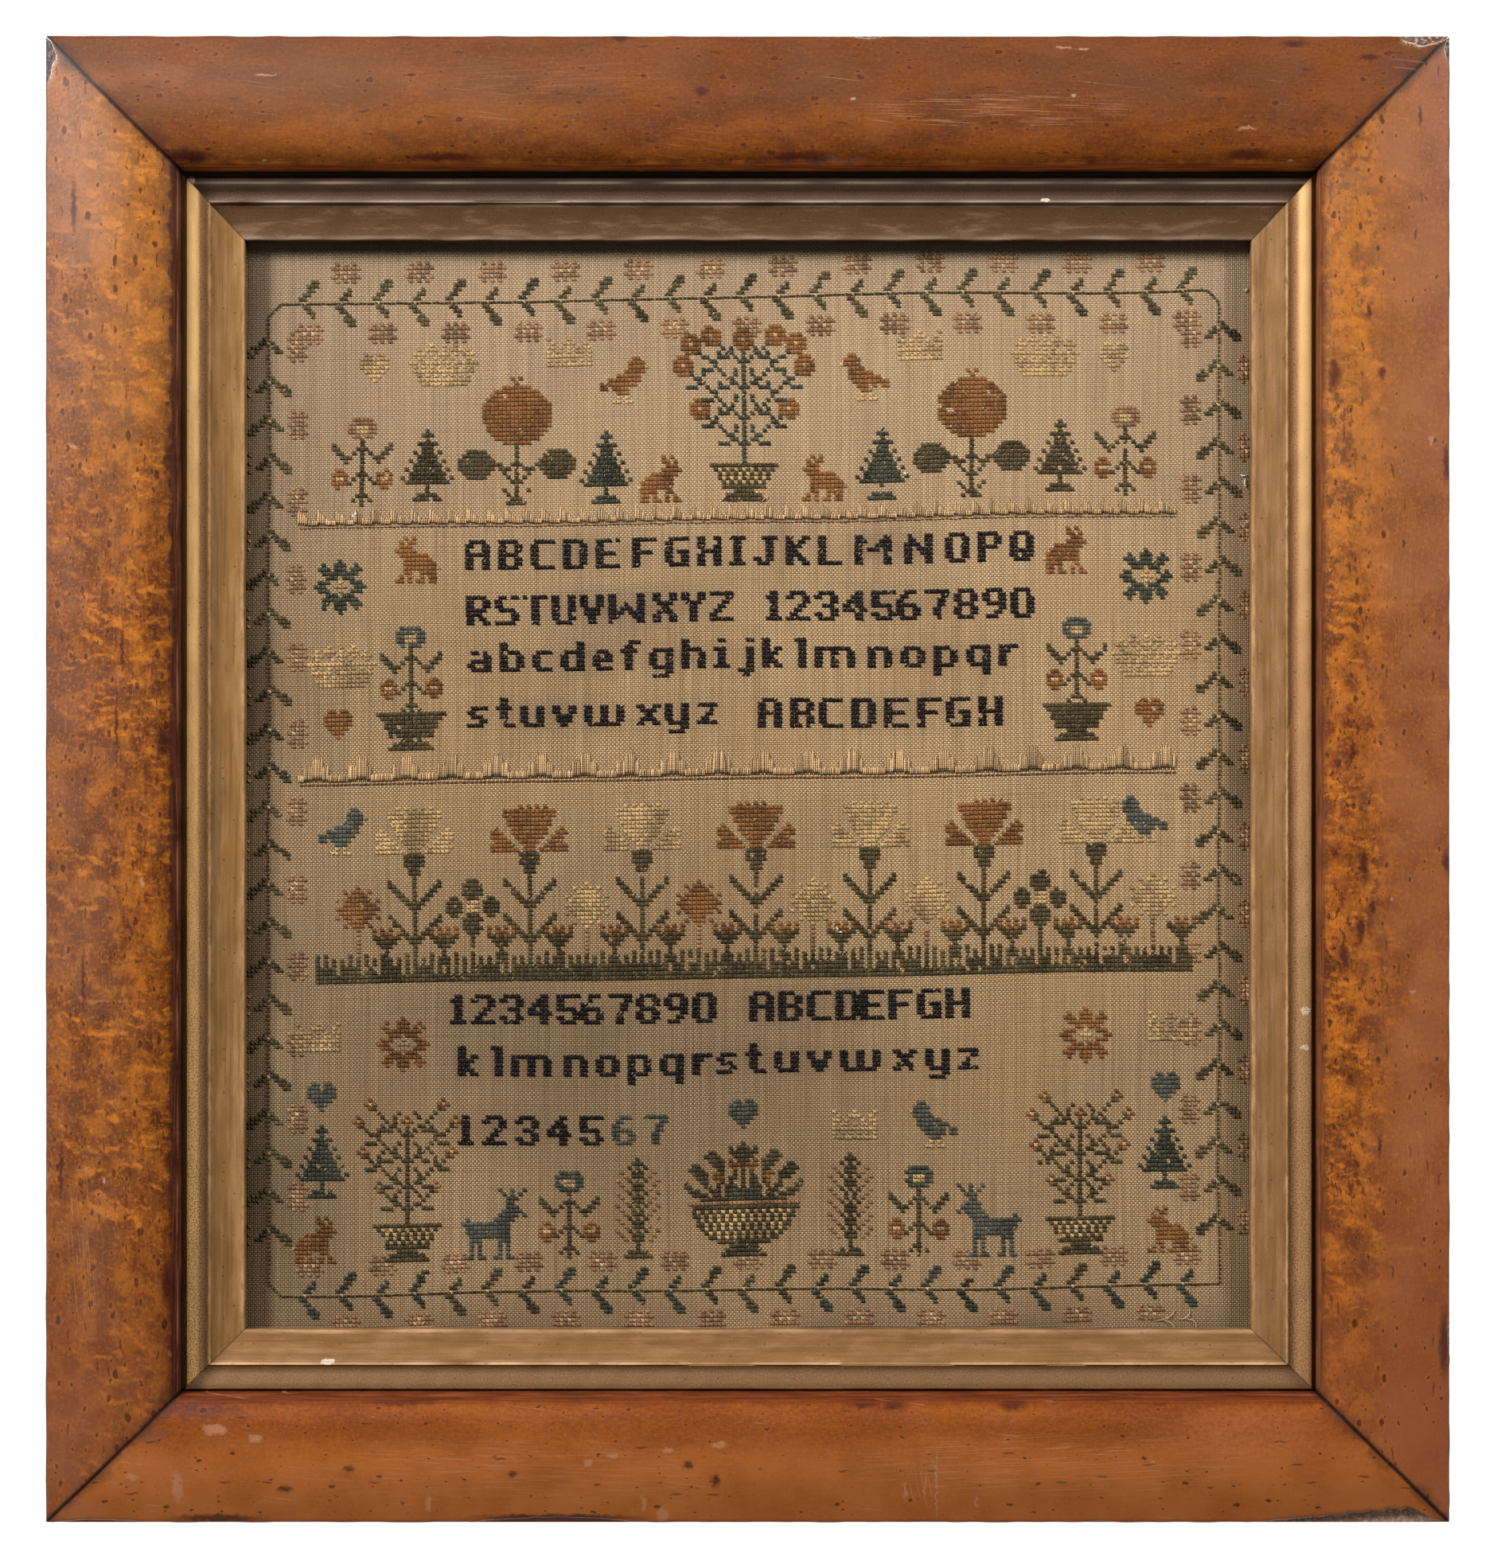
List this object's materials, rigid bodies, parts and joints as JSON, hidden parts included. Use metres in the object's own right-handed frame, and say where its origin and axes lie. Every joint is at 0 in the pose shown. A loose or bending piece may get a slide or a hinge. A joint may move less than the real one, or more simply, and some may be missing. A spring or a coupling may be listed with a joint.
{
  "type": "framed cross stitch sampler",
  "caption": "Cross stitched linen sampler behind a gilt slip in a mitred bird's eye maple frame, lying on its back.",
  "frame": {"origin": "centre of the back, in the plane that the frame lies on", "axes": "+Z out of the sampler's face, +Y to its top, +X to its right as it is looked at"},
  "size_m": [0.4236, 0.4484, 0.0262],
  "materials": {
    "maple_veneer": "bird's eye maple veneer under aged orange shellac, satin to glossy",
    "pine": "stained softwood, matt",
    "gilding": "aged gilding rubbed down to gesso on its edges, satin",
    "ground_cloth": "fine unbleached tabby linen, matt",
    "thread": "twisted embroidery silk and wool in faded colours, matt",
    "board": "old thin board, bare and dusty"
  },
  "bodies": {
    "root": {"rail_bottom": "pine", "rail_right": "pine", "rail_top": "pine", "rail_left": "pine", "facing_bottom": "maple_veneer", "facing_right": "maple_veneer", "facing_top": "maple_veneer", "facing_left": "maple_veneer", "slip_bottom": "gilding", "slip_right": "gilding", "slip_top": "gilding", "slip_left": "gilding", "sampler_cloth": "ground_cloth", "backboard": "board"}
  },
  "joints": []
}
